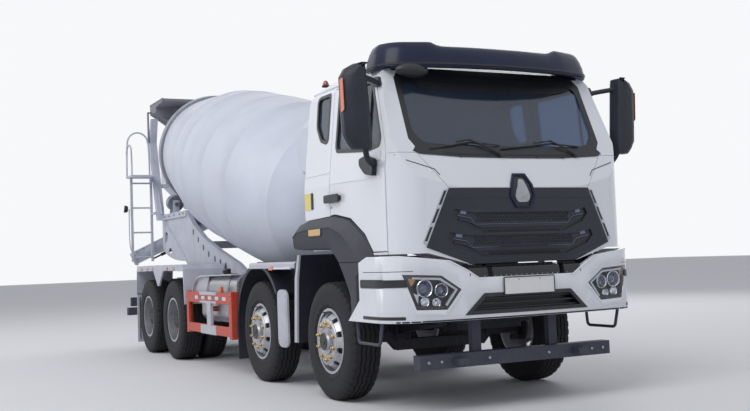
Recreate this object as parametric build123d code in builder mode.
from build123d import *
import os
from math import cos, hypot, radians, sin

# Concrete mixer truck, four axles, the front two steered. Millimetres.
# X runs forward, Y to the truck's left, Z up. The origin is on the ground at mid length and mid width.

# Reach of the plate holder ahead of the front axle, and of the chute behind it
front_reach, rear_reach = 1528, 8383

# Wheels and axles
front_axle = (rear_reach - front_reach) / 2
second_axle = front_axle - 1825
third_axle = second_axle - 3240
fourth_axle = third_axle - 1350
tyre_radius = 535
tyre_width = 300
hub_height = tyre_radius
rim_seat_radius = 285.7
rim_flange_radius = 298
rim_half_width = 131
rim_wall = 12
hub_radius = 115
spindle_radius = 45
axle_tube_radius = 80
steered_wheel_y = 1019
outer_twin_y = 1095
twin_spacing = 350
disc_offset = 175
hand_holes = 10
hand_hole_radius = 27
hand_hole_pitch_radius = 236
kingpin_y = 870
kingpin_radius = 24
running_gap = 0.3
bearing_gap = 0.08

# Chassis
rail_outer_y = 430
rail_height = 300
rail_flange = 85
rail_web = 10
rail_bottom = 700
rail_top = rail_bottom + rail_height
rail_front = front_axle + 1230
rail_rear = front_axle - 7720
subframe_height = 70
subframe_width = 90
subframe_top = rail_top + subframe_height
subframe_front = front_axle - 700
crossmember_thickness = 60
front_crossmember = 1150

# Cab
cab_half_width = 1150
cab_wall = 40
panel_thickness = 12
cab_rear = front_axle - 450
cab_nose = front_axle + 1490
cab_floor = 1360
cab_front_bottom = 1300
sill_height = 1320
sill_width = 90
roof_height = 2925
roof_edge = roof_height + 30
roof_shoulder = roof_height - 125
window_top = roof_height - 145
belt_height = 2120
door_front = front_axle + 1240
door_rear = front_axle + 130
door_top = roof_height - 95
door_gap = 10
glass_depth = 14
glass_thickness = 8
arch_outer_top = 1668
flare_thickness = 125
flare_outer_y = 1235
cab_pivot_x = front_axle + 1430
cab_pivot_z = 1000
cab_pin_radius = 20

# Bumper
bumper_half_width = 1245
bumper_front = front_axle + 1520
bumper_wall = 45
bumper_bottom = 750
bumper_top = 1286
plate_hole_spacing = 300

# Drum, on an axis that rises to the rear
drum_slope = 12.92
drum_axis_height = 1457
drum_wall = 12
drum_stations = (
    # distance along the axis, outer radius
    (1480, 300),
    (1640, 560),
    (1900, 790),
    (2172, 925),
    (3300, 1068),
    (3951, 1086),
    (5100, 1086),
    (5603, 1063),
    (7013, 850),
    (7850, 560),
)
raceway_station = 7013
raceway_radius = 896
raceway_width = 110
roller_radius = 125
roller_width = 130
roller_angle = 38

# Rear frame, hopper and chute
rear_plate_y = 640
post_y = 705
post_width = 110


def side_profile(points, y_low, y_high, mode=Mode.ADD):
    """Closed outline in X and Z, from y_low to y_high."""
    with BuildSketch(Plane.XZ.offset(-y_low)) as outline:
        with BuildLine():
            Polyline(*points, close=True)
        make_face()
    extrude(outline.sketch, amount=y_low - y_high, mode=mode)


def front_profile(points, x_low, x_high, mode=Mode.ADD):
    """Closed outline in Y and Z, from x_low to x_high."""
    with BuildSketch(Plane.YZ.offset(x_low)) as outline:
        with BuildLine():
            Polyline(*points, close=True)
        make_face()
    extrude(outline.sketch, amount=x_high - x_low, mode=mode)


def plan_profile(points, z_low, z_high, mode=Mode.ADD):
    """Closed outline in X and Y, from z_low to z_high."""
    with BuildSketch(Plane.XY.offset(z_low)) as outline:
        with BuildLine():
            Polyline(*points, close=True)
        make_face()
    extrude(outline.sketch, amount=z_high - z_low, mode=mode)


def block(x_low, x_high, y_low, y_high, z_low, z_high, mode=Mode.ADD):
    """Plain block between six planes."""
    with Locations(((x_low + x_high) / 2, (y_low + y_high) / 2, (z_low + z_high) / 2)):
        Box(x_high - x_low, y_high - y_low, z_high - z_low, mode=mode)


def cross_cylinder(x, z, radius, y_low, y_high, mode=Mode.ADD):
    """Cylinder along Y."""
    with Locations(Plane(origin=(x, y_low, z), z_dir=(0, 1, 0))):
        Cylinder(radius, y_high - y_low, align=(Align.CENTER, Align.CENTER, Align.MIN), mode=mode)


def turned(points, x, z, side):
    """Solid turned about a wheel's axis. Points are distance out from the truck's middle, and radius."""
    plane = Plane(origin=(x, 0, z), x_dir=(0, side, 0), z_dir=(1, 0, 0))
    with BuildSketch(plane) as section:
        with BuildLine():
            Polyline(*points, close=True)
        make_face()
    axis = Axis((x, 0, z), (0, 1, 0))
    revolve(section.sketch, axis, 360)


def finish(builder, label, *bolted):
    """Name a finished piece and write it, with what is bolted to it face to face."""
    part = builder.part
    if bolted:
        part = Compound([solid for each in (builder, *bolted) for solid in each.part.solids()])
    part.label = label
    export_step(part, f"parts/{label}.step")


os.makedirs("parts", exist_ok=True)
sides = ((-1, "R"), (1, "L"))

# Chassis rails with their crossmembers
with BuildPart() as chassis_frame:
    inner = rail_outer_y - rail_flange
    web = rail_outer_y - rail_web
    channel = (
        (rail_outer_y, rail_bottom),
        (rail_outer_y, rail_top),
        (inner, rail_top),
        (inner, rail_top - rail_web),
        (web, rail_top - rail_web),
        (web, rail_bottom + rail_web),
        (inner, rail_bottom + rail_web),
        (inner, rail_bottom),
    )
    front_profile(channel, rail_rear, rail_front)
    mirror(about=Plane.XZ)
    for place in (front_crossmember, -1200, -2300, -3300, -4400, -5740, -7300):
        middle = front_axle + place
        half = crossmember_thickness / 2
        web = rail_outer_y - rail_web
        low = rail_bottom + 60
        block(middle - half, middle + half, -web, web, low, rail_top - 50)

# Brackets of the cab's hinges, bolted to the front crossmember
with BuildPart() as pivot_brackets:
    bracket_rear = front_axle + front_crossmember + crossmember_thickness / 2
    bracket = (
        (bracket_rear, rail_bottom + 150),
        (cab_pivot_x + 28, cab_pivot_z - 26),
        (cab_pivot_x + 28, cab_pivot_z + 22),
        (cab_pivot_x - 35, cab_pivot_z + 22),
        (bracket_rear, rail_top - 60),
    )
    for side, _ in sides:
        side_profile(bracket, *sorted((side * 300, side * 340)))
        cross_cylinder(cab_pivot_x, cab_pivot_z, cab_pin_radius, *sorted((side * 300, side * 380)))
finish(chassis_frame, "chassis_frame", pivot_brackets)

with BuildPart() as subframe:
    outer = rail_outer_y
    block(rail_rear, subframe_front, outer - subframe_width, outer, rail_top, subframe_top)
    mirror(about=Plane.XZ)
    for place in (-1000, -4200, -5740, -7600):
        middle = front_axle + place
        reach = outer - subframe_width
        block(middle - 40, middle + 40, -reach, reach, rail_top, subframe_top - 35)
finish(subframe, "subframe")

# Engine and gearbox, hidden under the cab
with BuildPart() as engine_block:
    block(front_axle - 300, front_axle + 900, -330, 330, 620, cab_front_bottom - 15)
    block(front_axle - 1050, front_axle - 300, -210, 210, 640, 1000)
finish(engine_block, "engine_block")


# Axles
def steered_axle(x):
    """Dropped beam with an eye for each kingpin."""
    eye_low, eye_high = hub_height - 75, hub_height + 75
    reach = kingpin_y
    beam = (
        (-reach, hub_height - 45),
        (-560, hub_height - 45),
        (-480, hub_height - 130),
        (480, hub_height - 130),
        (560, hub_height - 45),
        (reach, hub_height - 45),
        (reach, hub_height + 45),
        (530, hub_height + 45),
        (450, hub_height - 30),
        (-450, hub_height - 30),
        (-530, hub_height + 45),
        (-reach, hub_height + 45),
    )
    front_profile(beam, x - 45, x + 45)
    for side, _ in sides:
        with Locations((x, side * kingpin_y, (eye_low + eye_high) / 2)):
            Cylinder(45, eye_high - eye_low)
            Cylinder(kingpin_radius + bearing_gap, eye_high - eye_low, mode=Mode.SUBTRACT)
        block(x - 45, x + 45, min(side * 380, side * 470), max(side * 380, side * 470), 498, 560)


def driven_axle(x):
    """Tube with a round differential housing."""
    reach = outer_twin_y - 20
    cross_cylinder(x, hub_height, spindle_radius, -reach, reach)
    cross_cylinder(x, hub_height, axle_tube_radius, -560, 560)
    with Locations((x, 0, hub_height)):
        Sphere(235)
    with Locations(Plane(origin=(x, 0, hub_height), z_dir=(1, 0, 0))):
        Cylinder(120, 640)


with BuildPart() as axles:
    steered_axle(front_axle)
    steered_axle(second_axle)
    driven_axle(third_axle)
    driven_axle(fourth_axle)
finish(axles, "axles")


def leaf_pack(x, half_length, base, rise, thickness, y_low, y_high):
    """Stack of curved leaves, seen from the side as one tapering bow."""
    outline = (
        (x - half_length, base + rise),
        (x, base),
        (x + half_length, base + rise),
        (x + half_length, base + rise + 16),
        (x + half_length * 0.35, base + rise * 0.3 + thickness),
        (x - half_length * 0.35, base + rise * 0.3 + thickness),
        (x - half_length, base + rise + 16),
    )
    side_profile(outline, y_low, y_high)


with BuildPart() as leaf_springs:
    spring_low, spring_high = rail_outer_y - 45, rail_outer_y + 45
    for axle in (front_axle, second_axle):
        leaf_pack(axle, 800, 560, 100, 60, spring_low, spring_high)
        for end in (-780, 780):
            block(axle + end - 35, axle + end + 35, spring_low, spring_high, 660, rail_bottom)
    bogie = (third_axle + fourth_axle) / 2
    bogie_low, bogie_high = rail_outer_y + 20, rail_outer_y + 110
    leaf_pack(bogie, 675, 800, -184, 130, bogie_low, bogie_high)
    block(bogie - 90, bogie + 90, rail_outer_y, bogie_low, 770, 930)
    for axle in (third_axle, fourth_axle):
        block(axle - 60, axle + 60, bogie_low, bogie_high, hub_height, 618)
        cross_cylinder(axle, hub_height, axle_tube_radius + running_gap, bogie_low, bogie_high, Mode.SUBTRACT)
    mirror(about=Plane.XZ)
finish(leaf_springs, "leaf_springs")


# Steering knuckles: lugs round the axle's eye, a kingpin and a spindle
def knuckle(x, side, label):
    lug_gap = 75 + 5
    with BuildPart() as piece:
        for level in (-1, 1):
            with Locations((x, side * kingpin_y, hub_height + level * (lug_gap + 20))):
                Cylinder(50, 40)
            y_a, y_b = sorted((side * kingpin_y, side * (kingpin_y + 85)))
            z_a, z_b = sorted((hub_height + level * lug_gap, hub_height + level * (lug_gap + 40)))
            block(x - 50, x + 50, y_a, y_b, z_a, z_b)
        with Locations((x, side * kingpin_y, hub_height)):
            Cylinder(kingpin_radius, 2 * lug_gap + 20)
        y_a, y_b = sorted((side * (kingpin_y + 55), side * (kingpin_y + 85)))
        block(x - 60, x + 60, y_a, y_b, hub_height - lug_gap - 40, hub_height + lug_gap + 40)
        y_a, y_b = sorted((side * (kingpin_y + 85), side * (steered_wheel_y + 105)))
        cross_cylinder(x, hub_height, spindle_radius, y_a, y_b)
    finish(piece, label)


def tyre_section(middle):
    """Half section of a tyre, seated on the rim."""
    seat = rim_seat_radius + running_gap
    half = tyre_width / 2
    bead = rim_half_width - 13
    return (
        (middle - bead, seat),
        (middle - bead, rim_flange_radius + 2),
        (middle - half, 410),
        (middle - half + 18, tyre_radius - 25),
        (middle - half + 45, tyre_radius),
        (middle + half - 45, tyre_radius),
        (middle + half - 18, tyre_radius - 25),
        (middle + half, 410),
        (middle + bead, rim_flange_radius + 2),
        (middle + bead, seat),
    )


def rim_section(middle, disc, rise):
    """Half section of a rim, with its disc standing at the distance disc from the truck's middle."""
    inside = rim_seat_radius - rim_wall
    lip = rim_half_width - rim_wall
    half_disc = rim_wall / 2
    return (
        (middle - rim_half_width, rim_flange_radius),
        (middle - lip, rim_flange_radius),
        (middle - lip, rim_seat_radius),
        (middle + lip, rim_seat_radius),
        (middle + lip, rim_flange_radius),
        (middle + rim_half_width, rim_flange_radius),
        (middle + rim_half_width, inside),
        (disc - rise + 8, inside),
        (disc + half_disc, 222),
        (disc + half_disc, hub_radius - 5),
        (disc - half_disc, hub_radius - 5),
        (disc - half_disc, 216),
        (disc - rise - 8, inside),
        (middle - rim_half_width, inside),
    )


def hub_section(inner, outer, cap):
    """Half section of a hub, bored for the spindle, with a cap."""
    return (
        (inner, spindle_radius + bearing_gap),
        (inner, hub_radius),
        (outer, hub_radius),
        (outer, 80),
        (cap, 70),
        (cap, 0),
        (outer - 60, 0),
        (outer - 60, spindle_radius + bearing_gap),
    )


def hand_hole_cuts(x, y_low, y_high):
    with Locations(Plane(origin=(x, y_low, hub_height), z_dir=(0, 1, 0))):
        with PolarLocations(hand_hole_pitch_radius, hand_holes):
            Cylinder(
                hand_hole_radius,
                y_high - y_low,
                align=(Align.CENTER, Align.CENTER, Align.MIN),
                mode=Mode.SUBTRACT,
            )


def steered_wheel(x, side, number, name):
    with BuildPart() as tyre:
        turned(tyre_section(steered_wheel_y), x, hub_height, side)
    finish(tyre, f"tyre_{number}{name}")
    disc = steered_wheel_y + 150
    with BuildPart() as rim:
        turned(rim_section(steered_wheel_y, disc, 75), x, hub_height, side)
        turned(hub_section(kingpin_y + 90, disc + 20, disc + 45), x, hub_height, side)
        y_a, y_b = sorted((side * (disc - 60), side * (disc + 20)))
        hand_hole_cuts(x, y_a, y_b)
    finish(rim, f"rim_{number}{name}")


def twin_wheel(x, side, number, name):
    inner_twin_y = outer_twin_y - twin_spacing
    mount = outer_twin_y - disc_offset
    with BuildPart() as tyre:
        turned(tyre_section(outer_twin_y), x, hub_height, side)
        turned(tyre_section(inner_twin_y), x, hub_height, side)
    finish(tyre, f"tyres_{number}{name}")
    with BuildPart() as rim:
        turned(rim_section(outer_twin_y, mount + 6, -75), x, hub_height, side)
        turned(rim_section(inner_twin_y, mount - 6, 75), x, hub_height, side)
        turned(hub_section(mount - 180, outer_twin_y + 75, outer_twin_y + 90), x, hub_height, side)
        y_a, y_b = sorted((side * (mount - 60), side * (mount + 60)))
        hand_hole_cuts(x, y_a, y_b)
    finish(rim, f"rims_{number}{name}")


for side, name in sides:
    for number, axle in ((1, front_axle), (2, second_axle)):
        knuckle(axle, side, f"knuckle_{number}{name}")
        steered_wheel(axle, side, number, name)
    for number, axle in ((3, third_axle), (4, fourth_axle)):
        twin_wheel(axle, side, number, name)


def shrunk(points, inset):
    """Closed outline moved inwards by inset, edge by edge."""
    count = len(points)
    area = sum(
        points[i - 1][0] * points[i][1] - points[i][0] * points[i - 1][1] for i in range(count)
    )
    turn = 1 if area > 0 else -1
    lines = []
    for i in range(count):
        (xa, ya), (xb, yb) = points[i - 1], points[i]
        length = hypot(xb - xa, yb - ya)
        nx, ny = -(yb - ya) / length * turn, (xb - xa) / length * turn
        lines.append((nx, ny, nx * xa + ny * ya + inset))
    result = []
    for i in range(count):
        a1, b1, c1 = lines[i]
        a2, b2, c2 = lines[(i + 1) % count]
        det = a1 * b2 - a2 * b1
        result.append(((c1 * b2 - c2 * b1) / det, (a1 * c2 - a2 * c1) / det))
    return result


# Cab form: three outlines crossed, then hollowed
cab_corner_radius = 260
cab_corner_x = front_axle + 1180


def cab_form(inset):
    """Cab's outer form, shrunk on every side by inset."""
    side = (
        (cab_rear, cab_front_bottom),
        (cab_rear, roof_height - 165),
        (cab_rear + 90, roof_height - 35),
        (cab_rear + 330, roof_height),
        (front_axle + 830, roof_height + 15),
        (front_axle + 1020, roof_height - 45),
        (front_axle + 1345, belt_height + 20),
        (cab_nose - 20, 1830),
        (cab_nose, 1350),
        (cab_nose - 20, 1195),
        (front_axle + 1150, 1195),
        (front_axle + 1150, cab_front_bottom),
    )
    front = (
        (-527, 1197),
        (-900, cab_front_bottom),
        (-cab_half_width - 12, cab_front_bottom),
        (-cab_half_width - 15, 1950),
        (-cab_half_width + 75, roof_shoulder),
        (-cab_half_width + 190, roof_edge),
        (cab_half_width - 190, roof_edge),
        (cab_half_width - 75, roof_shoulder),
        (cab_half_width + 15, 1950),
        (cab_half_width + 12, cab_front_bottom),
        (900, cab_front_bottom),
        (527, 1197),
    )
    width = cab_half_width + 15
    corner_y = width - cab_corner_radius
    side_y = width - inset
    corner = cab_corner_radius - inset
    slant = corner * cos(radians(45))
    with BuildPart(mode=Mode.PRIVATE) as form:
        with BuildSketch(Plane.XZ.offset(-width)) as side_sketch:
            with BuildLine():
                Polyline(*shrunk(side, inset), close=True)
            make_face()
        extrude(side_sketch.sketch, amount=2 * width)
        with BuildSketch(Plane.YZ.offset(cab_rear - 10)) as front_sketch:
            with BuildLine():
                Polyline(*shrunk(front, inset), close=True)
            make_face()
        extrude(front_sketch.sketch, amount=cab_nose - cab_rear + 20, mode=Mode.INTERSECT)
        with BuildSketch(Plane.XY.offset(1000)) as plan_sketch:
            with BuildLine():
                Polyline(
                    (cab_corner_x, side_y),
                    (cab_rear - 10, side_y),
                    (cab_rear - 10, -side_y),
                    (cab_corner_x, -side_y),
                )
                ThreePointArc(
                    (cab_corner_x, -side_y),
                    (cab_corner_x + slant, -corner_y - slant),
                    (cab_corner_x + corner, -corner_y),
                )
                ThreePointArc(
                    (cab_corner_x + corner, -corner_y),
                    (cab_nose - inset, 0),
                    (cab_corner_x + corner, corner_y),
                )
                ThreePointArc(
                    (cab_corner_x + corner, corner_y),
                    (cab_corner_x + slant, corner_y + slant),
                    (cab_corner_x, side_y),
                )
            make_face()
        extrude(plan_sketch.sketch, amount=2200, mode=Mode.INTERSECT)
    return form.part


cab_outer = cab_form(0)
cab_inner = cab_form(cab_wall)
cab_skin = cab_form(panel_thickness)
glass_outer = cab_form(glass_depth)
glass_inner = cab_form(glass_depth + glass_thickness)

# Openings in the cab's sides and front
arch_crown = (
    (front_axle + 250, arch_outer_top),
    (front_axle + 560, arch_outer_top - 48),
    (front_axle + 830, arch_outer_top - 193),
    (front_axle + 976, sill_height),
)
arch_outline = (
    (cab_rear - 200, 1250),
    (cab_rear - 180, 1590),
    (front_axle - 480, 1650),
    (door_rear, arch_outer_top),
    *arch_crown,
    (front_axle + 988, 1300),
    (front_axle + 988, 1180),
)
door_outline = (
    (door_rear, door_top),
    (door_rear, arch_outer_top),
    *arch_crown,
    (door_front, sill_height),
    (door_front, 2150),
    (front_axle + 960, door_top),
)
door_window = (
    (front_axle + 245, window_top),
    (front_axle + 235, 2290),
    (front_axle + 260, 2240),
    (front_axle + 900, 2180),
    (front_axle + 1110, 2200),
    (front_axle + 1130, 2260),
    (front_axle + 935, window_top - 50),
    (front_axle + 880, window_top),
)
quarter_window = (
    (front_axle - 240, window_top - 20),
    (front_axle - 200, window_top + 20),
    (front_axle + 50, window_top + 20),
    (front_axle + 50, 2370),
    (front_axle + 10, 2345),
    (front_axle - 120, 2380),
    (front_axle - 230, 2520),
)
windscreen_outline = (
    (-900, window_top + 80),
    (-960, window_top),
    (-970, 2240),
    (-920, 2160),
    (-500, 2130),
    (500, 2130),
    (920, 2160),
    (970, 2240),
    (960, window_top),
    (900, window_top + 80),
)
grille_outline = (
    (-700, 1822),
    (-916, 1346),
    (-527, 1200),
    (527, 1200),
    (916, 1346),
    (700, 1822),
    (105, 1822),
    (60, 1930),
    (-60, 1930),
    (-105, 1822),
)
far_out = cab_half_width + 200
door_inner_y = cab_half_width - 125
sill_rear = front_axle + 990

with BuildPart() as front_skin:
    add(cab_outer)
    add(cab_skin, mode=Mode.SUBTRACT)
    block(door_front - 8, cab_nose + 50, -far_out, far_out, 1100, belt_height, Mode.INTERSECT)

with BuildPart() as cab_shell:
    add(cab_outer)
    add(cab_inner, mode=Mode.SUBTRACT)
    for side, _ in sides:
        low, high = sorted((side * (cab_half_width - 60), side * far_out))
        side_profile(arch_outline, low, high, Mode.SUBTRACT)
        low, high = sorted((side * door_inner_y, side * far_out))
        side_profile(door_outline, low, high, Mode.SUBTRACT)
        side_profile(quarter_window, low, high, Mode.SUBTRACT)
        low, high = sorted((side * door_inner_y, side * (door_inner_y + sill_width - 4)))
        block(sill_rear, door_front, low, high, cab_front_bottom, cab_front_bottom + cab_wall)
    block(cab_rear - 20, front_axle + 450, -far_out, far_out, 1250, cab_floor, Mode.SUBTRACT)
    block(cab_rear, front_axle + 450, -cab_half_width + 60, cab_half_width - 60, cab_floor, cab_floor + cab_wall)
    front_profile(windscreen_outline, front_axle + 900, cab_nose + 50, Mode.SUBTRACT)
    add(front_skin.part, mode=Mode.SUBTRACT)
    arm = (
        (cab_pivot_x - 22, cab_pivot_z - 24),
        (cab_pivot_x + 12, cab_pivot_z - 24),
        (cab_pivot_x + 24, cab_pivot_z + 12),
        (front_axle + 1212, 1215),
        (front_axle + 1155, 1215),
    )
    for side, _ in sides:
        low, high = sorted((side * 345, side * 375))
        side_profile(arm, low, high)
        cross_cylinder(cab_pivot_x, cab_pivot_z, cab_pin_radius + bearing_gap, low, high, Mode.SUBTRACT)
finish(cab_shell, "cab_shell")

panel_inside = cab_form(panel_thickness - running_gap)
with BuildPart() as front_panels:
    add(cab_outer)
    add(panel_inside, mode=Mode.SUBTRACT)
    block(door_front + 3, cab_nose + 50, -far_out, far_out, 1100, belt_height - 3, Mode.INTERSECT)
    front_profile(grille_outline, front_axle + 900, cab_nose + 50, Mode.SUBTRACT)
    corner_seam = ((-704, 1822), (-698, 1822), (-928, belt_height), (-934, belt_height))
    front_profile(corner_seam, front_axle + 900, cab_nose + 50, Mode.SUBTRACT)
    corner_seam = ((704, 1822), (698, 1822), (928, belt_height), (934, belt_height))
    front_profile(corner_seam, front_axle + 900, cab_nose + 50, Mode.SUBTRACT)
    block(front_axle + 900, cab_nose + 50, -540, 540, 1100, 1205, Mode.SUBTRACT)
finish(front_panels, "front_panels")

with BuildPart() as grille:
    add(cab_outer)
    add(panel_inside, mode=Mode.SUBTRACT)
    front_profile(grille_outline, door_front + 3, cab_nose + 50, Mode.INTERSECT)
finish(grille, "grille")

with BuildPart() as panes:
    add(glass_outer)
    add(glass_inner, mode=Mode.SUBTRACT)
    side_profile(quarter_window, -far_out, far_out, Mode.INTERSECT)

with BuildPart() as cab_glass:
    add(glass_outer)
    add(glass_inner, mode=Mode.SUBTRACT)
    front_profile(windscreen_outline, front_axle + 900, cab_nose + 50, Mode.INTERSECT)
    add(panes.part)
finish(cab_glass, "cab_glass")

for side, name in sides:
    low, high = sorted((side * door_inner_y, side * far_out))
    with BuildPart() as door:
        add(cab_outer)
        add(cab_inner, mode=Mode.SUBTRACT)
        side_profile(shrunk(door_outline, door_gap), low, high, Mode.INTERSECT)
        side_profile(door_window, low, high, Mode.SUBTRACT)
        low, high = sorted((side * door_inner_y, side * (door_inner_y + sill_width)))
        block(door_rear, door_front, low, high, cab_front_bottom, cab_front_bottom + cab_wall + 5, Mode.SUBTRACT)
    finish(door, f"door_{name}")
    low, high = sorted((side * door_inner_y, side * far_out))
    with BuildPart() as pane:
        add(glass_outer)
        add(glass_inner, mode=Mode.SUBTRACT)
        side_profile(door_window, low, high, Mode.INTERSECT)
    finish(pane, f"door_glass_{name}")

# Arch flares on the cab, and their lower ends on the chassis
flare_seam = 1250
flare_seam_gap = 5
flare_outline = (
    (cab_rear - 180, 1385),
    (cab_rear - 170, 1590),
    (front_axle - 480, 1650),
    (door_rear, arch_outer_top),
    *arch_crown,
    (front_axle + 978, 1302),
    (front_axle + 846, flare_seam),
    (front_axle + 366, flare_seam),
    (front_axle + 215, 1365),
)


with BuildPart() as arch_flares:
    side_profile(shrunk(flare_outline, 1), flare_outer_y - flare_thickness, flare_outer_y)
    mirror(about=Plane.XZ)
finish(arch_flares, "arch_flares")

lower_flare = (
    (front_axle + 510, 1065),
    (front_axle + 386, 1235),
    (front_axle + 372, flare_seam - flare_seam_gap),
    (front_axle + 853, flare_seam - flare_seam_gap),
    (front_axle + 853, 930),
    (front_axle + 640, 765),
    (front_axle + 615, 785),
    (front_axle + 600, 930),
)
liner_inner_y, liner_outer_y = 490, 1190
fender_radius = 700
fender_centre_z = 555
with BuildPart() as arch_liners:
    side_profile(lower_flare, flare_outer_y - flare_thickness, flare_outer_y)
    rear_liner = (
        (front_axle - 640, 1330),
        (front_axle - 600, 1330),
        (front_axle - 665, 1100),
        (front_axle - 720, 480),
        (front_axle - 760, 480),
        (front_axle - 700, 1100),
    )
    side_profile(rear_liner, liner_inner_y, liner_outer_y)
    block(front_axle - 700, front_axle - 660, rail_outer_y, liner_outer_y, 980, 1020)
    step_plate = (
        (front_axle - 1150, 480),
        (front_axle - 1150, 930),
        (front_axle - 1090, 990),
        (front_axle - 960, 990),
        (front_axle - 900, 930),
        (front_axle - 900, 480),
        (front_axle - 960, 420),
        (front_axle - 1090, 420),
    )
    side_profile(step_plate, 1185, 1215)
    block(front_axle - 1060, front_axle - 990, rail_outer_y, 1185, 560, 620)
    block(front_axle - 1060, front_axle - 740, 1120, 1185, 560, 620)
    with BuildSketch(Plane.XZ.offset(-860)) as arc_band:
        with BuildLine():
            start, end = radians(35), radians(192)
            middle = (start + end) / 2
            inner_radius = fender_radius - 25
            corners = [
                (second_axle + r * cos(a), fender_centre_z + r * sin(a))
                for r in (inner_radius, fender_radius)
                for a in (start, middle, end)
            ]
            ThreePointArc(corners[0], corners[1], corners[2])
            ThreePointArc(corners[3], corners[4], corners[5])
            Line(corners[0], corners[3])
            Line(corners[2], corners[5])
        make_face()
    extrude(arc_band.sketch, amount=-320)
    block(second_axle - 683, second_axle - 665, 870, 1180, 190, 415)
    block(second_axle - 20, second_axle + 20, rail_outer_y, 860, 1225, 1250)
    block(second_axle - 20, second_axle + 20, rail_outer_y, rail_outer_y + 30, 950, 1225)
    mirror(about=Plane.XZ)
finish(arch_liners, "arch_liners")


# Bumper: a bent shell with pockets for the lamps and an air intake
bumper_corner_radius = 300
lamp_outline = (
    (1127, 1136),
    (810, 1118),
    (636, 1000),
    (767, 843),
    (1031, 852),
)
intake_outline = (
    (-592, 800),
    (-430, 950),
    (430, 950),
    (592, 800),
)


def bumper_form(inset):
    width = bumper_half_width - inset
    corner_x = bumper_front - 60 - bumper_corner_radius
    corner_y = bumper_half_width - bumper_corner_radius
    corner = bumper_corner_radius - inset
    slant = corner * cos(radians(45))
    with BuildPart(mode=Mode.PRIVATE) as form:
        with BuildSketch(Plane.XY.offset(bumper_bottom - 50)) as plan:
            with BuildLine():
                Polyline(
                    (corner_x, width), (front_axle + 400, width), (front_axle + 400, -width), (corner_x, -width)
                )
                ThreePointArc(
                    (corner_x, -width), (corner_x + slant, -corner_y - slant), (corner_x + corner, -corner_y)
                )
                ThreePointArc(
                    (corner_x + corner, -corner_y), (bumper_front - inset, 0), (corner_x + corner, corner_y)
                )
                ThreePointArc(
                    (corner_x + corner, corner_y), (corner_x + slant, corner_y + slant), (corner_x, width)
                )
            make_face()
        extrude(plan.sketch, amount=700)
    return form.part


bumper_outer = bumper_form(0)
bumper_inner = bumper_form(bumper_wall)
with BuildPart() as bumper:
    add(bumper_outer)
    add(bumper_inner, mode=Mode.SUBTRACT)
    bumper_face = (
        (-bumper_half_width - 10, bumper_bottom),
        (bumper_half_width + 10, bumper_bottom),
        (bumper_half_width + 10, bumper_top),
        (1150, bumper_top),
        (730, 1237),
        (576, 1158),
        (470, 1090),
        (-470, 1090),
        (-576, 1158),
        (-730, 1237),
        (-1150, bumper_top),
        (-bumper_half_width - 10, bumper_top),
    )
    front_profile(bumper_face, front_axle + 300, bumper_front + 50, Mode.INTERSECT)
    bumper_side = (
        (front_axle + 615, bumper_bottom - 5),
        (bumper_front + 50, bumper_bottom - 5),
        (bumper_front + 50, bumper_top + 10),
        (front_axle + 1040, bumper_top + 10),
        (front_axle + 853, flare_seam - 10),
        (front_axle + 853, 930),
        (front_axle + 640, 765),
        (front_axle + 620, 749.5),
    )
    side_profile(bumper_side, -bumper_half_width - 10, bumper_half_width + 10, Mode.INTERSECT)
    for side, _ in sides:
        outline = tuple((side * y, z) for y, z in lamp_outline)
        front_profile(outline, front_axle + 1150, bumper_front + 50, Mode.SUBTRACT)
        low, high = sorted((side * (bumper_half_width - 20), side * (bumper_half_width + 20)))
        block(front_axle + 880, front_axle + 1380, low, high, 1030, 1100, Mode.SUBTRACT)
    front_profile(intake_outline, front_axle + 1150, bumper_front + 50, Mode.SUBTRACT)
    for side, _ in sides:
        low, high = sorted((side * 620, side * 680))
        block(rail_front + 60, front_axle + 1460, low, high, 850, 910)
    block(bumper_front - 20, front_axle + front_reach, -235, 235, 955, 1085)
    for y in (-plate_hole_spacing / 2, plate_hole_spacing / 2):
        with Locations(Plane(origin=(bumper_front - 60, y, 1020), z_dir=(1, 0, 0))):
            Cylinder(4, 80, align=(Align.CENTER, Align.CENTER, Align.MIN), mode=Mode.SUBTRACT)
finish(bumper, "bumper")

lamp_front = bumper_form(10)
lamp_back = bumper_form(bumper_wall + 60)
with BuildPart() as headlamps:
    add(lamp_front)
    add(lamp_back, mode=Mode.SUBTRACT)
    front_profile(shrunk(lamp_outline, 1), front_axle + 1150, bumper_front + 50, Mode.INTERSECT)
    mirror(about=Plane.XZ)
finish(headlamps, "headlamps")

beam_x, beam_top = rail_front, 475
loop_y = 1205
tow_lug_y, tow_pin_radius = 600, 20
with BuildPart() as underrun_beam:
    block(beam_x, beam_x + 110, -960, 960, 360, beam_top)
    for y in (-tow_lug_y, tow_lug_y):
        block(beam_x + 110, beam_x + 210, y - 50, y + 50, 390, 440)
        with Locations((beam_x + 160, y, 415)):
            Cylinder(tow_pin_radius, 50, mode=Mode.SUBTRACT)
    for side, _ in sides:
        with BuildLine() as loop:
            FilletPolyline(
                (front_axle + 720, side * loop_y, bumper_bottom - 5),
                (front_axle + 740, side * loop_y, 570),
                (front_axle + 1130, side * loop_y, 570),
                (front_axle + 1180, side * loop_y, bumper_bottom - 5),
                radius=40,
            )
        with BuildSketch(Plane(loop.line @ 0, z_dir=loop.line % 0)) as tube:
            Circle(14)
        sweep(tube.sketch, path=loop.line)
        low, high = sorted((side * (loop_y - 20), side * (loop_y + 20)))
        block(front_axle + 690, front_axle + 1210, low, high, bumper_bottom - 6, bumper_bottom)

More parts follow.
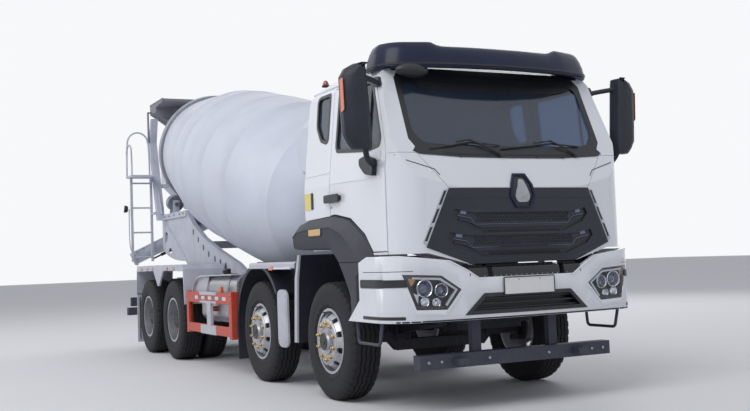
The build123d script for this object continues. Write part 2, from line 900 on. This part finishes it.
# Hangers that carry the beam, with arms out to the bumper's corners
with BuildPart() as beam_hangers:
    for side, _ in sides:
        low, high = sorted((side * 345, side * rail_outer_y))
        block(beam_x, beam_x + 60, low, high, beam_top, rail_top)
        low, high = sorted((side * 345, side * 700))
        block(beam_x, beam_x + 60, low, high, 800, rail_top)
finish(underrun_beam, "underrun_beam", beam_hangers)

# Visor over the windscreen, bent round the front in plan
visor_half_width = 1100
visor_rear = front_axle + 860
visor_corner_x = front_axle + 1150
visor_front = front_axle + 1290
with BuildPart() as visor:
    blade = (
        (front_axle + 880, roof_height - 20),
        (front_axle + 930, roof_height + 95),
        (front_axle + 1000, roof_height + 130),
        (front_axle + 1100, roof_height + 125),
        (visor_front, roof_height - 40),
        (visor_front - 10, roof_height - 75),
        (front_axle + 1060, roof_height - 35),
        (front_axle + 1030, roof_height - 70),
    )
    side_profile(blade, -visor_half_width, visor_half_width)
    with BuildSketch(Plane.XY.offset(roof_height - 100)) as sweep_plan:
        with BuildLine():
            Polyline(
                (visor_corner_x, -visor_half_width),
                (visor_rear, -visor_half_width),
                (visor_rear, visor_half_width),
                (visor_corner_x, visor_half_width),
            )
            ThreePointArc(
                (visor_corner_x, visor_half_width), (visor_front, 0), (visor_corner_x, -visor_half_width)
            )
        make_face()
    extrude(sweep_plan.sketch, amount=300, mode=Mode.INTERSECT)
    add(cab_outer, mode=Mode.SUBTRACT)
finish(visor, "visor")

# Cab inside
with BuildPart() as seats:
    for y in (-520, 520):
        block(front_axle - 60, front_axle + 420, y - 240, y + 240, 1400, 1750)
        block(front_axle - 200, front_axle - 60, y - 240, y + 240, 1400, 2450)
finish(seats, "seats")

with BuildPart() as dashboard:
    shelf = (
        (front_axle + 1100, cab_front_bottom + cab_wall),
        (front_axle + 1189, cab_front_bottom + cab_wall),
        (front_axle + 1189, 1400),
        (front_axle + 1240, 1400),
        (front_axle + 1240, 2080),
        (front_axle + 900, 2110),
        (front_axle + 820, 2000),
        (front_axle + 900, 1750),
        (front_axle + 1100, 1600),
    )
    side_profile(shelf, -1040, 1040)
    with Locations(Plane(origin=(front_axle + 760, 520, 2090), z_dir=(-0.8, 0, 0.6))):
        Torus(225, 18)
        Box(430, 40, 20)
        Cylinder(30, 280, align=(Align.CENTER, Align.CENTER, Align.MAX))
finish(dashboard, "dashboard")

# Mirrors
for side, name in sides:
    with BuildPart() as mirror_head:
        outline = (
            (1262, 2150),
            (1285, 2850),
            (1400, 2860),
            (1500, 2760),
            (1482, 2260),
            (1420, 2190),
            (1330, 2140),
        )
        outline = tuple((side * y, z) for y, z in outline)
        front_profile(outline, front_axle + 1130, front_axle + 1230)
        low, high = sorted((side * (cab_half_width - 60), side * 1330))
        block(front_axle + 1020, front_axle + 1080, low, high, 1950, 2060)
        block(front_axle + 1060, front_axle + 1180, *sorted((side * 1270, side * 1330)), 2030, 2160)
        arm = ((930, 1040), (965, 1040), (1200, 1300), (1160, 1310))
        plan_profile(tuple((front_axle + x, side * y) for x, y in arm), 2750, 2785)
        add(cab_outer, mode=Mode.SUBTRACT)
    finish(mirror_head, f"mirror_{name}")

# Side tanks, guards and fenders
with BuildPart() as side_tanks:
    with BuildSketch(Plane.YZ.offset(front_axle - 3980)) as section:
        with Locations((-918, 850)):
            RectangleRounded(450, 580, 120)
    extrude(section.sketch, amount=1370)
    for x in (-3700, -2900):
        block(front_axle + x - 40, front_axle + x + 40, -720, -rail_outer_y, 750, 900)
    for y, z in ((600, 640), (870, 640), (735, 900)):
        with Locations(Plane(origin=(front_axle - 3500, y, z), z_dir=(1, 0, 0))):
            Cylinder(125, 850, align=(Align.CENTER, Align.CENTER, Align.MIN))
    block(front_axle - 4250, front_axle - 3600, 560, 1145, 620, 1050)
    block(front_axle - 4000, front_axle - 3900, rail_outer_y, 560, 800, 900)
    for x in (-3400, -2760):
        block(front_axle + x, front_axle + x + 20, rail_outer_y, 980, 620, 960)
finish(side_tanks, "side_tanks")

with BuildPart() as side_guards:
    for z in (430, 630, 830):
        block(front_axle - 4350, front_axle - 2540, 1205, 1235, z, z + 100)
    for x in (-4350, -3450, -2620):
        block(front_axle + x, front_axle + x + 80, 1185, 1205, 430, 930)
    for x in (-4330, -2600):
        block(front_axle + x, front_axle + x + 40, rail_outer_y, 1185, 800, 860)
    mirror(about=Plane.XZ)
finish(side_guards, "side_guards")

rear_deck_top = 1275
deck_inner_y = 690
with BuildPart() as rear_fenders:
    deck_front, deck_rear = front_axle - 4450, front_axle - 7020
    middle = (third_axle + fourth_axle) / 2
    shell = (
        (deck_front - 40, rear_deck_top),
        (deck_rear + 40, rear_deck_top),
        (deck_rear, rear_deck_top - 60),
        (deck_rear - 60, 860),
        (deck_rear - 40, 860),
        (deck_rear + 20, rear_deck_top - 65),
        (deck_rear + 50, rear_deck_top - 25),
        (deck_front - 50, rear_deck_top - 25),
        (deck_front - 20, rear_deck_top - 65),
        (deck_front + 20, 760),
        (deck_front + 40, 760),
        (deck_front, rear_deck_top - 60),
    )
    side_profile(shell, deck_inner_y, 1250)
    block(middle - 40, middle + 40, rail_outer_y, deck_inner_y + 30, rail_top - 55, rail_top - 5)
    block(middle - 40, middle + 40, deck_inner_y, deck_inner_y + 30, rail_top - 55, rear_deck_top - 20)
    skirt = (
        (deck_front - 40, rear_deck_top - 10),
        (deck_rear + 40, rear_deck_top - 10),
        (deck_rear + 20, 1190),
        (middle - 270, 1200),
        (middle - 30, 985),
        (middle + 30, 985),
        (middle + 270, 1200),
        (deck_front - 20, 1190),
    )
    side_profile(skirt, 1225, 1250)
    block(deck_rear - 66, deck_rear - 48, deck_inner_y, 1240, 120, 870)
    mirror(about=Plane.XZ)
finish(rear_fenders, "rear_fenders")

# Water tank on two posts behind the cab
tank_x, tank_z, tank_radius = front_axle - 810, drum_axis_height + 923, 330
with BuildPart() as water_tank:
    cross_cylinder(tank_x, tank_z, tank_radius, -1000, 1000)
    chamfer(water_tank.edges().filter_by(GeomType.CIRCLE), 90, 110)
finish(water_tank, "water_tank")

# Drum and its drive
drum_dir = (-cos(radians(drum_slope)), 0, sin(radians(drum_slope)))
drum_up = (sin(radians(drum_slope)), 0, cos(radians(drum_slope)))


def drum_point(station, radius=0):
    """Point in the middle plane, at a distance along the drum's axis and a height above it."""
    return (
        front_axle + station * drum_dir[0] + radius * drum_up[0],
        drum_axis_height + station * drum_dir[2] + radius * drum_up[2],
    )


def drum_turned(points):
    with BuildSketch(Plane.XZ) as section:
        with BuildLine():
            Polyline(*[drum_point(s, r) for s, r in points], close=True)
        make_face()
    start = drum_point(0)
    revolve(section.sketch, Axis((start[0], 0, start[1]), drum_dir), 360)


with BuildPart() as drum_shell:
    outer = list(drum_stations)
    wall = [(s, r - drum_wall) for s, r in reversed(drum_stations[1:])]
    first, first_radius = drum_stations[0]
    head = [(first + drum_wall, first_radius - drum_wall), (first + drum_wall, 0), (first, 0)]
    drum_turned(outer + wall + head)
finish(drum_shell, "drum_shell")


def drum_radius_at(station):
    for (s_a, r_a), (s_b, r_b) in zip(drum_stations, drum_stations[1:]):
        if s_a <= station <= s_b:
            return r_a + (r_b - r_a) * (station - s_a) / (s_b - s_a)


with BuildPart() as raceway:
    start = raceway_station - raceway_width / 2
    end = raceway_station + raceway_width / 2
    drum_turned(
        (
            (start, drum_radius_at(start) + running_gap),
            (start, raceway_radius),
            (end, raceway_radius),
            (end, drum_radius_at(end) + running_gap),
            (raceway_station, drum_radius_at(raceway_station) + running_gap),
        )
    )
finish(raceway, "raceway")

gearbox_start, gearbox_end, gearbox_radius = 1020, 1390, 225
with BuildPart() as drum_gearbox:
    x, z = drum_point(gearbox_start)
    with Locations(Plane(origin=(x, 0, z), x_dir=(0, 1, 0), z_dir=drum_dir)):
        Cylinder(gearbox_radius, gearbox_end - gearbox_start, align=(Align.CENTER, Align.CENTER, Align.MIN))
        Cylinder(90, 1480 - running_gap - gearbox_start, align=(Align.CENTER, Align.CENTER, Align.MIN))
    foot = (
        drum_point(gearbox_start + 40),
        drum_point(gearbox_end - 30),
        drum_point(gearbox_end - 30, -240),
        drum_point(gearbox_start + 40, -240),
    )
    side_profile(foot, -180, 180)
finish(drum_gearbox, "drum_gearbox")

with BuildPart() as drum_pedestal:
    stand = (
        drum_point(gearbox_start + 20, -240),
        drum_point(gearbox_end, -240),
        (front_axle - 1500, subframe_top),
        (front_axle - 960, subframe_top),
    )
    side_profile(stand, -240, 240)
    block(front_axle - 1500, front_axle - 960, -rail_outer_y, rail_outer_y, subframe_top, subframe_top + 40)
    for side, _ in sides:
        low, high = sorted((side * 350, side * 430))
        block(tank_x - 60, tank_x + 60, low, high, subframe_top, tank_z - 200)
        block(tank_x - 200, tank_x + 60, low, high, subframe_top, subframe_top + 40)
    cross_cylinder(tank_x, tank_z, tank_radius + running_gap, -1100, 1100, Mode.SUBTRACT)
finish(drum_pedestal, "drum_pedestal")

# Rear frame, with the rollers' brackets and the hopper's posts
roller_reach = raceway_radius + roller_radius + running_gap
roller_y = roller_reach * sin(radians(roller_angle))
roller_x, roller_z = drum_point(raceway_station, -roller_reach * cos(radians(roller_angle)))


def roller_plane(side):
    return Plane(origin=(roller_x, side * roller_y, roller_z), x_dir=(0, 1, 0), z_dir=drum_dir)


for side, name in sides:
    with BuildPart() as roller:
        with Locations(roller_plane(side)):
            Cylinder(roller_radius, roller_width)
            Cylinder(30, roller_width + 110)
    finish(roller, f"roller_{name}")

swivel_x = front_axle - 7950
swivel_top = drum_axis_height + 183
cradle_top = drum_axis_height + 633
post_top = drum_axis_height + 2223
hopper_pivot = (front_axle - 7995, drum_axis_height + 1873)
rear_plate = (
    (front_axle - 3410, subframe_top),
    (front_axle - 3960, drum_axis_height - 184),
    (front_axle - 4700, drum_axis_height - 7),
    (front_axle - 5400, drum_axis_height + 193),
    (front_axle - 5900, drum_axis_height + 403),
    (front_axle - 6280, cradle_top),
    (front_axle - 7660, cradle_top),
    (front_axle - 7660, cradle_top - 30),
    (front_axle - 6250, drum_axis_height - 174),
    (front_axle - 6150, subframe_top),
)
post = (
    (front_axle - 7540, cradle_top - 90),
    (front_axle - 7660, cradle_top - 90),
    (front_axle - 8070, post_top - 390),
    (front_axle - 7903, post_top),
    (front_axle - 7831, post_top),
    (front_axle - 7950, post_top - 380),
    (front_axle - 7760, post_top - 980),
)
with BuildPart() as plate_hollow:
    side_profile(shrunk(rear_plate, 14), rear_plate_y - 40, rear_plate_y + 40)
    side_profile(rear_plate, rear_plate_y - 8, rear_plate_y + 8, Mode.SUBTRACT)

with BuildPart() as rear_frame:
    side_profile(rear_plate, rear_plate_y - 35, rear_plate_y + 35)
    add(plate_hollow.part, mode=Mode.SUBTRACT)
    block(front_axle - 7660, front_axle - 6280, rear_plate_y - 35, rear_plate_y + 35, cradle_top - 90, cradle_top)
    block(front_axle - 7590, front_axle - 7500, rear_plate_y - 35, rear_plate_y + 35, swivel_top - 120, cradle_top - 90)
    side_profile(post, post_y - post_width / 2, post_y + post_width / 2)
    cross_cylinder(*hopper_pivot, 15, post_y, 795)
    for level in (-1, 1):
        with Locations(roller_plane(1)):
            with Locations((0, 70, level * (roller_width / 2 + 20))):
                Box(100, 260, 24)
    mirror(about=Plane.XZ)
    for side, _ in sides:
        with Locations(roller_plane(side)):
            Cylinder(30 + bearing_gap, roller_width + 200, mode=Mode.SUBTRACT)
    for x in (-3560, -6130):
        block(front_axle + x - 60, front_axle + x + 60, -610, 610, subframe_top, subframe_top + 80)
    block(front_axle - 6600, front_axle - 6500, -635, 635, cradle_top - 220, cradle_top - 125)
    block(front_axle - 7600, front_axle - 7510, -610, 610, cradle_top - 130, cradle_top - 30)
    block(front_axle - 7590, front_axle - 7500, -610, 610, swivel_top - 120, swivel_top)
    block(swivel_x, front_axle - 7500, -60, 60, swivel_top - 100, swivel_top - 20)
    with Locations((swivel_x, 0, swivel_top - 60)):
        Cylinder(80, 120)
        Cylinder(40 + bearing_gap, 120, mode=Mode.SUBTRACT)
finish(rear_frame, "rear_frame")

ladder_x = front_axle - 7850
ladder_foot = 1350
platform_height = cradle_top + 610
with BuildPart() as ladder:
    for y in (-1110, -790):
        block(ladder_x - 18, ladder_x + 18, y - 18, y + 18, ladder_foot, platform_height)
    for rung in range(4):
        cross_cylinder(ladder_x, ladder_foot + 70 + rung * 400, 13, -1110, -790)
    block(ladder_x - 60, ladder_x + 330, -1180, -770, platform_height, platform_height + 30)
    block(
        front_axle - 7850, front_axle - 7790, -800, -post_y - post_width / 2, platform_height - 60, platform_height
    )
    block(ladder_x - 18, front_axle - 7600, -800, -post_y - post_width / 2, cradle_top + 10, cradle_top + 50)
finish(ladder, "ladder")

funnel_top = cradle_top + 510
funnel_bottom = funnel_top - 400
funnel_back = funnel_top + 450
with BuildPart() as collecting_funnel:
    for inset, mode in ((0, Mode.ADD), (12, Mode.SUBTRACT)):
        with BuildSketch(Plane.XY.offset(funnel_top + (inset > 0))) as mouth:
            with Locations((front_axle - 8000, 0)):
                Rectangle(420 - 2 * inset, 1040 - 2 * inset)
        with BuildSketch(Plane.XY.offset(funnel_bottom - (inset > 0))) as spout:
            with Locations((swivel_x, 0)):
                Rectangle(240 - 2 * inset, 340 - 2 * inset)
        loft(sections=[mouth.sketch.face(), spout.sketch.face()], mode=mode)
    for side, _ in sides:
        low, high = sorted((side * 508, side * 520))
        block(front_axle - 8210, front_axle - 7930, low, high, funnel_top, funnel_back)
        low, high = sorted((side * 515, side * (post_y - post_width / 2)))
        block(front_axle - 7850, front_axle - 7790, low, high, funnel_top - 60, funnel_top)
    block(front_axle - 8210, front_axle - 8198, -520, 520, funnel_top, funnel_back)
finish(collecting_funnel, "collecting_funnel")

with BuildPart() as rear_underrun:
    block(rail_rear - 120, rail_rear - 20, -1230, 1230, 500, 620)
    for y in (-tow_lug_y, tow_lug_y):
        block(rail_rear - 220, rail_rear - 120, y - 50, y + 50, 535, 585)
        with Locations((rail_rear - 170, y, 560)):
            Cylinder(tow_pin_radius, 50, mode=Mode.SUBTRACT)
    for side, _ in sides:
        low, high = sorted((side * 345, side * rail_outer_y))
        block(rail_rear - 60, rail_rear, low, high, 620, 960)
        low, high = sorted((side * 860, side * 1180))
        block(rail_rear - 80, rail_rear - 30, low, high, 640, 780)
        low, high = sorted((side * 980, side * 1060))
        block(rail_rear - 70, rail_rear - 40, low, high, 615, 645)
finish(rear_underrun, "rear_underrun")

# Charge hopper, hinged at the post tops
hopper_rim = drum_axis_height + 2473
hopper_side = (
    (front_axle - 7250, hopper_rim),
    (front_axle - 8060, hopper_rim),
    (front_axle - 8060, hopper_rim - 165),
    (front_axle - 7900, hopper_rim - 430),
    (front_axle - 7590, hopper_rim - 730),
    (front_axle - 7530, hopper_rim - 480),
    (front_axle - 7700, hopper_rim - 230),
    (front_axle - 7690, hopper_rim - 80),
    (front_axle - 7250, hopper_rim - 45),
)
hopper_front = (
    (-720, hopper_rim),
    (-720, hopper_rim - 160),
    (-330, hopper_rim - 450),
    (-330, hopper_rim - 730),
    (330, hopper_rim - 730),
    (330, hopper_rim - 450),
    (720, hopper_rim - 160),
    (720, hopper_rim),
)
with BuildPart() as inside:
    opened_side = (
        (front_axle - 7250, hopper_rim + 60),
        (front_axle - 8060, hopper_rim + 60),
        *hopper_side[2:4],
        (front_axle - 7510, hopper_rim - 807),
        (front_axle - 7474, hopper_rim - 572),
        *hopper_side[6:],
    )
    side_profile(shrunk(opened_side, 12), -720, 720)
    opened_front = ((-720, hopper_rim + 60), *hopper_front[1:3], (-330, hopper_rim - 830), (330, hopper_rim - 830), *hopper_front[5:7], (720, hopper_rim + 60))
    front_profile(shrunk(opened_front, 12), front_axle - 8200, front_axle - 7000, Mode.INTERSECT)

with BuildPart() as charge_hopper:
    side_profile(hopper_side, -720, 720)
    front_profile(hopper_front, front_axle - 8200, front_axle - 7000, Mode.INTERSECT)
    add(inside.part, mode=Mode.SUBTRACT)
    for side, _ in sides:
        low, high = sorted((side * 765, side * 783))
        block(hopper_pivot[0] - 30, hopper_pivot[0] + 30, low, high, hopper_pivot[1] - 30, hopper_rim - 120)
        cross_cylinder(*hopper_pivot, 15 + bearing_gap, low, high, Mode.SUBTRACT)
        low, high = sorted((side * 715, side * 783))
        block(hopper_pivot[0] - 30, hopper_pivot[0] + 30, low, high, hopper_rim - 140, hopper_rim - 120)
finish(charge_hopper, "charge_hopper")

# Discharge chute on its swivel
chute_heading = radians(180 + 76)
chute_slope = radians(25)
chute_radius, chute_wall = 170, 8
chute_head, chute_length = 220, 1430
pivot_z = swivel_top + 320
heading = (cos(chute_heading), sin(chute_heading))
down = (heading[0] * cos(chute_slope), heading[1] * cos(chute_slope), -sin(chute_slope))
across = (-heading[1], heading[0], 0)
with BuildPart() as chute_swivel:
    with Locations((swivel_x, 0, swivel_top - 140)):
        Cylinder(40, 200, align=(Align.CENTER, Align.CENTER, Align.MIN))
    with Locations((swivel_x, 0, swivel_top + running_gap)):
        Cylinder(80, 30, align=(Align.CENTER, Align.CENTER, Align.MIN))
    with Locations(Plane(origin=(swivel_x, 0, 0), x_dir=across, z_dir=(0, 0, 1))):
        with Locations((0, 0, swivel_top + 30)):
            Box(420, 110, 30)
        for level in (-1, 1):
            with Locations((level * 200, 0, (swivel_top + 15 + pivot_z + 55) / 2)):
                Box(20, 110, pivot_z + 55 - swivel_top - 15)
    with Locations(Plane(origin=(swivel_x, 0, pivot_z), x_dir=(0, 0, 1), z_dir=across)):
        Cylinder(18 + bearing_gap, 600, mode=Mode.SUBTRACT)
finish(chute_swivel, "chute_swivel")

with BuildPart() as chute:
    start = tuple(c - chute_head * d for c, d in zip((swivel_x, 0, pivot_z), down))
    with BuildSketch(Plane(origin=start, x_dir=across, z_dir=down)) as section:
        with BuildLine():
            inner = chute_radius - chute_wall
            Line((-chute_radius, 30), (-chute_radius, 0))
            ThreePointArc((-chute_radius, 0), (0, -chute_radius), (chute_radius, 0))
            Polyline((chute_radius, 0), (chute_radius, 30), (inner, 30), (inner, 0))
            ThreePointArc((inner, 0), (0, -inner), (-inner, 0))
            Polyline((-inner, 0), (-inner, 30), (-chute_radius, 30))
        make_face()
    extrude(section.sketch, amount=chute_length)
    for level in (-1, 1):
        hub = Plane(origin=(swivel_x, 0, pivot_z), x_dir=down, z_dir=across)
        with Locations(hub.offset(level * (chute_radius + 17))):
            Cylinder(18, 46)
finish(chute, "chute")
